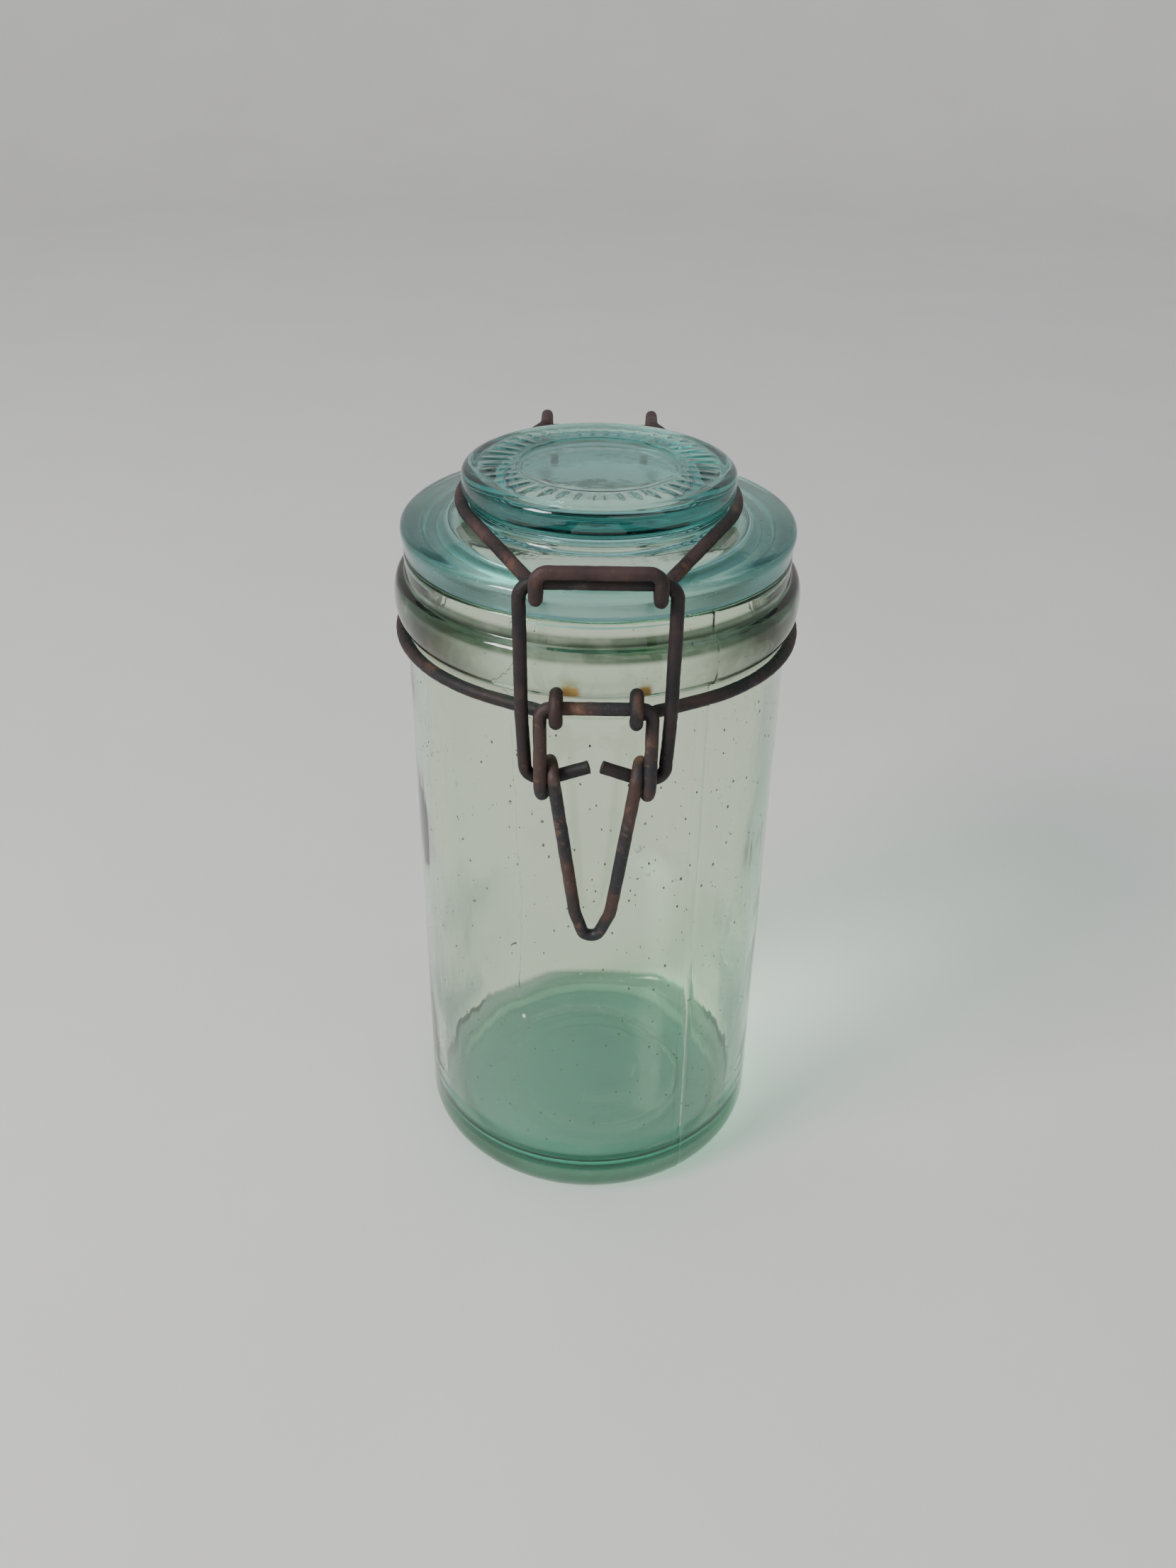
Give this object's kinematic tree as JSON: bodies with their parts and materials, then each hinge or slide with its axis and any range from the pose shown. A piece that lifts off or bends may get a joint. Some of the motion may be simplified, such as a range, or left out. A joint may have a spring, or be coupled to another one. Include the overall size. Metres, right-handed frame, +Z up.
{
  "type": "clamp-lid glass jar",
  "caption": "Upright cylindrical glass jar with a knobbed glass lid held by a wire bail, a hinge bar behind and a lever latch in front.",
  "frame": {"origin": "middle of the jar's flat base", "axes": "+Z up the jar's axis to the lid, -Y the latch side, +Y the lid's hinge, +X to the right seen from the latch"},
  "size_m": [0.1002, 0.1195, 0.1989],
  "materials": {
    "jar_glass": "pressed aqua-green soda-lime glass, clear with seeds and mould seams",
    "lid_glass": "thick pressed blue-green glass",
    "ring_wire": "dark rusty iron wire",
    "bail_wire": "reddish brown rusty iron wire",
    "link_wire": "blackened iron wire with rust flecks",
    "lever_wire": "brown iron wire with orange rust patches"
  },
  "bodies": {
    "jar_body": {"jar": "jar_glass", "neck_ring": "ring_wire"},
    "lid_body": {"lid": "lid_glass", "bail": "bail_wire"},
    "lever_body": {"lever": "lever_wire"},
    "link_body": {"link": "link_wire"}
  },
  "joints": [
    {"name": "lid_hinge", "type": "hinge", "parent": "jar_body", "child": "lid_body", "pos_m": [0, 0.0555, 0.1889], "axis": [-1, 0, 0], "range_deg": [0, 110]},
    {"name": "lever_pivot", "type": "hinge", "parent": "jar_body", "child": "lever_body", "pos_m": [0, -0.0536, 0.1617], "axis": [-1, 0, 0], "range_deg": [0, 90]},
    {"name": "link_pivot", "type": "hinge", "parent": "lever_body", "child": "link_body", "pos_m": [0, -0.053, 0.1437], "axis": [-1, 0, 0], "range_deg": [-58, 0]}
  ],
  "couplings": [
    {"joint": "link_pivot", "follows": "lever_pivot", "ratio": -0.62}
  ]
}
